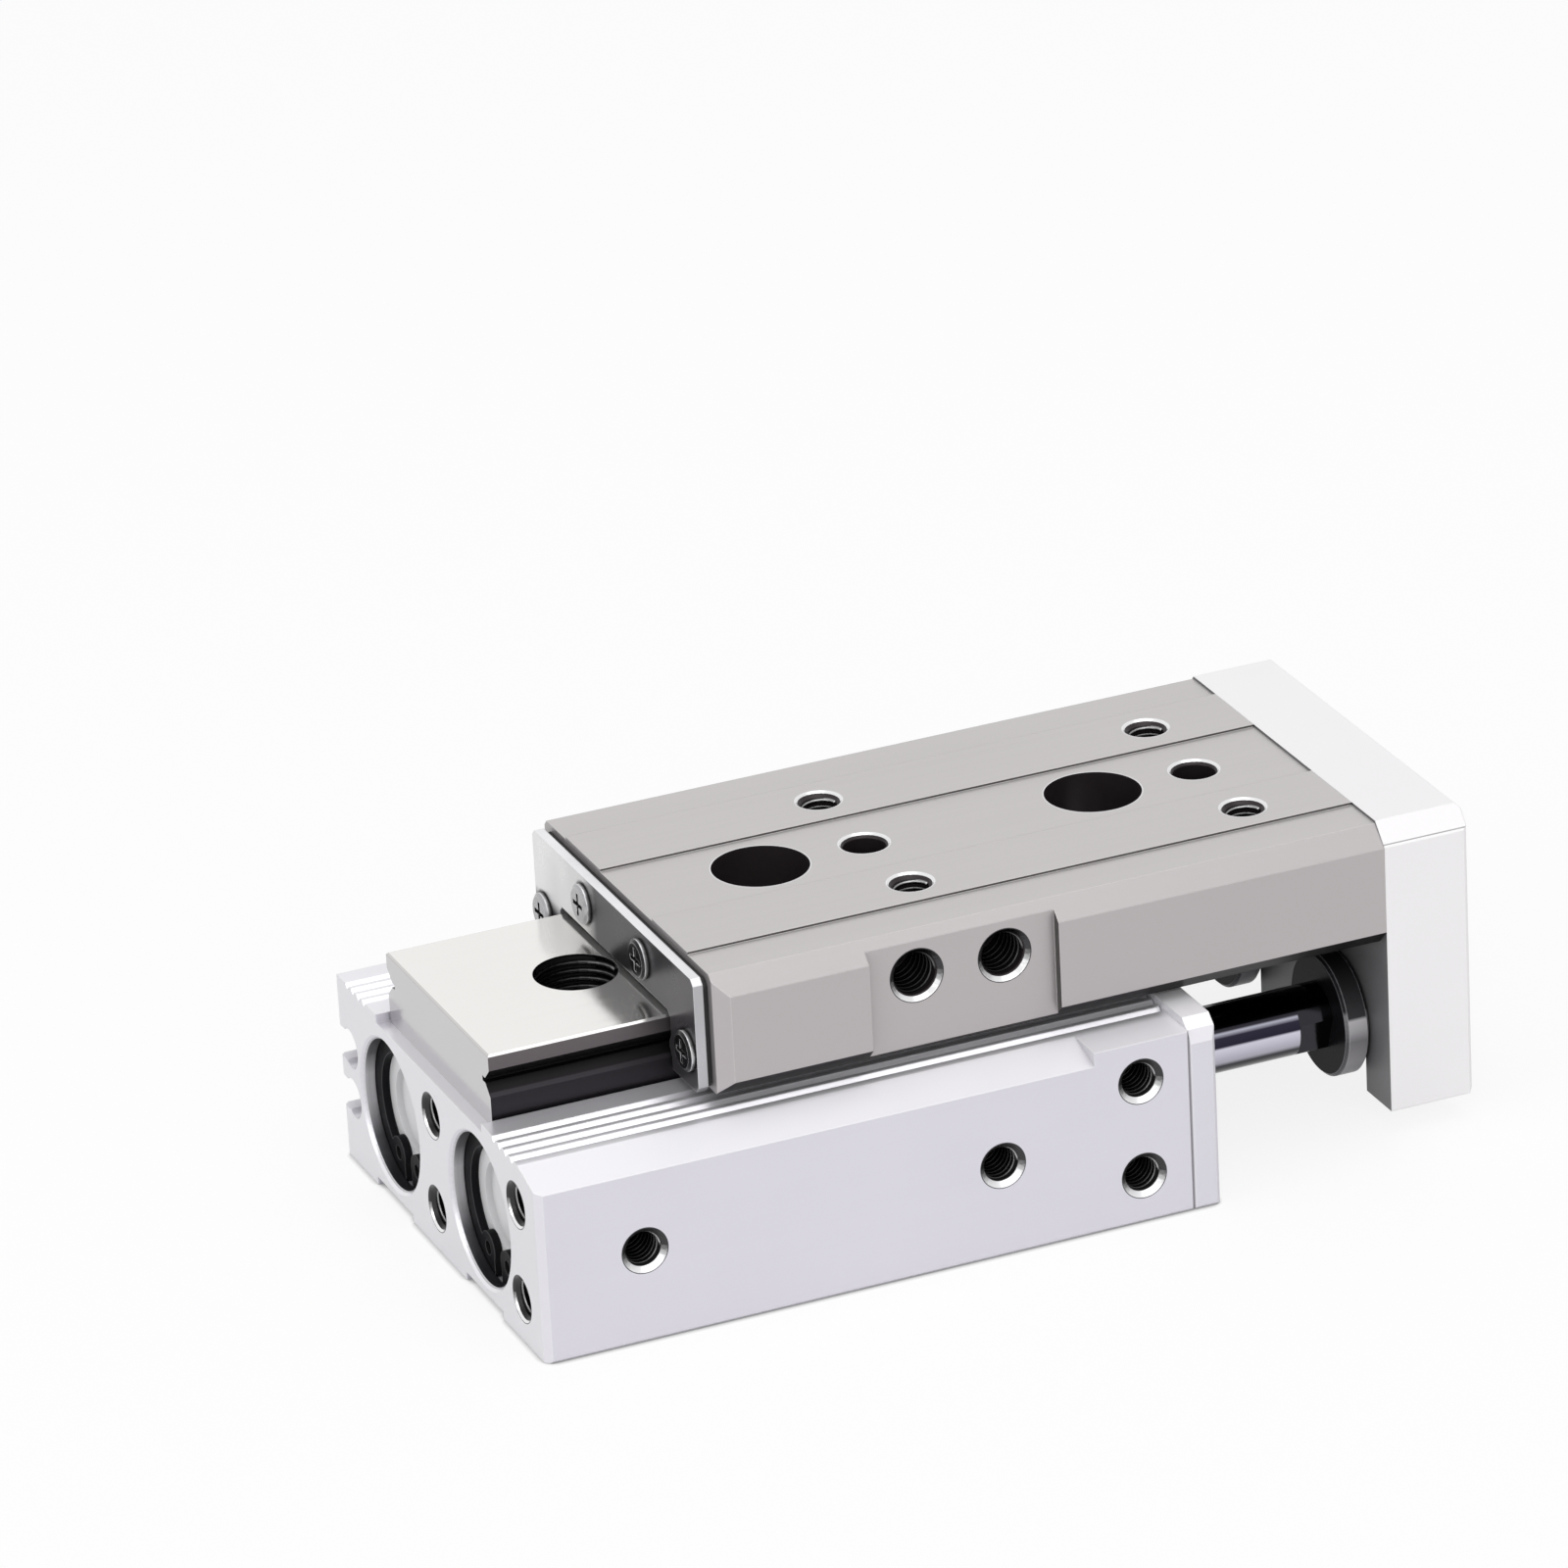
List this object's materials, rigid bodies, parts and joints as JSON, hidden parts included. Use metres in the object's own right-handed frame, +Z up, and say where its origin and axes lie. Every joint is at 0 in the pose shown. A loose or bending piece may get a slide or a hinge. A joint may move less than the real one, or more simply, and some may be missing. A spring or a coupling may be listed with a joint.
{
  "type": "pneumatic slide table",
  "caption": "Compact pneumatic slide table: twin air cylinders in an aluminium housing push an end plate and a steel table that runs on crossed rollers along a rail.",
  "frame": {"origin": "middle of the rail on the housing's rear end face, at the base", "axes": "+X along the stroke towards the end plate, +Y across, away from the ported side, +Z up from the base to the table"},
  "size_m": [0.1193, 0.062, 0.0393],
  "materials": {
    "anodised_aluminium": "satin clear anodised extrusion",
    "anodised_cover": "satin clear anodised plate",
    "pale_aluminium": "fine matt clear anodised",
    "bright_aluminium": "turned, bright",
    "ground_steel": "ground hardened steel",
    "rail_steel": "ground bearing steel",
    "wiper_steel": "stamped stainless sheet",
    "rod_steel": "hard chromed and polished",
    "plated_steel": "bright zinc plated",
    "black_steel": "black oxide",
    "rubber": "moulded nitrile rubber",
    "bearing_bronze": "machined bearing bronze",
    "wear_plastic": "machined acetal",
    "magnet": "plastic bonded ferrite"
  },
  "bodies": {
    "housing": {"body": "anodised_aluminium", "front_cover": "anodised_cover", "front_cover_screws": "black_steel", "rail": "rail_steel", "rail_screws": "black_steel", "near_head_cap": "bright_aluminium", "near_head_cap_oring": "rubber", "near_retaining_ring": "black_steel", "near_rod_cover": "bright_aluminium", "near_rod_cover_oring": "rubber", "near_rod_bush": "bearing_bronze", "near_rod_seal": "rubber", "near_rod_bumper": "rubber", "far_head_cap": "bright_aluminium", "far_head_cap_oring": "rubber", "far_retaining_ring": "black_steel", "far_rod_cover": "bright_aluminium", "far_rod_cover_oring": "rubber", "far_rod_bush": "bearing_bronze", "far_rod_seal": "rubber", "far_rod_bumper": "rubber"},
    "slide": {"table": "ground_steel", "end_plate": "pale_aluminium", "end_plate_screws": "black_steel", "wiper_plate": "wiper_steel", "wiper_seal": "rubber", "wiper_screws": "plated_steel", "near_rod": "rod_steel", "near_piston": "bright_aluminium", "near_piston_nut": "plated_steel", "near_piston_seal": "rubber", "near_piston_magnet": "magnet", "near_wear_ring": "wear_plastic", "near_piston_bumper": "rubber", "near_inner_bush": "black_steel", "near_outer_bush": "black_steel", "near_rod_screw": "black_steel", "far_rod": "rod_steel", "far_piston": "bright_aluminium", "far_piston_nut": "plated_steel", "far_piston_seal": "rubber", "far_piston_magnet": "magnet", "far_wear_ring": "wear_plastic", "far_piston_bumper": "rubber", "far_inner_bush": "black_steel", "far_outer_bush": "black_steel", "far_rod_screw": "black_steel"},
    "near_cage_set": {"near_cage": "bearing_bronze", "near_rollers": "rail_steel"},
    "far_cage_set": {"far_cage": "bearing_bronze", "far_rollers": "rail_steel"}
  },
  "joints": [
    {"name": "table_slide", "type": "slide", "parent": "housing", "child": "slide", "axis": [1, 0, 0], "range_m": [-0.0234, 0.0066]},
    {"name": "near_cage_slide", "type": "slide", "parent": "housing", "child": "near_cage_set", "axis": [1, 0, 0], "range_m": [-0.0117, 0.0033]},
    {"name": "far_cage_slide", "type": "slide", "parent": "housing", "child": "far_cage_set", "axis": [1, 0, 0], "range_m": [-0.0117, 0.0033]}
  ],
  "couplings": [
    {"joint": "near_cage_slide", "follows": "table_slide", "ratio": 0.5},
    {"joint": "far_cage_slide", "follows": "table_slide", "ratio": 0.5}
  ]
}
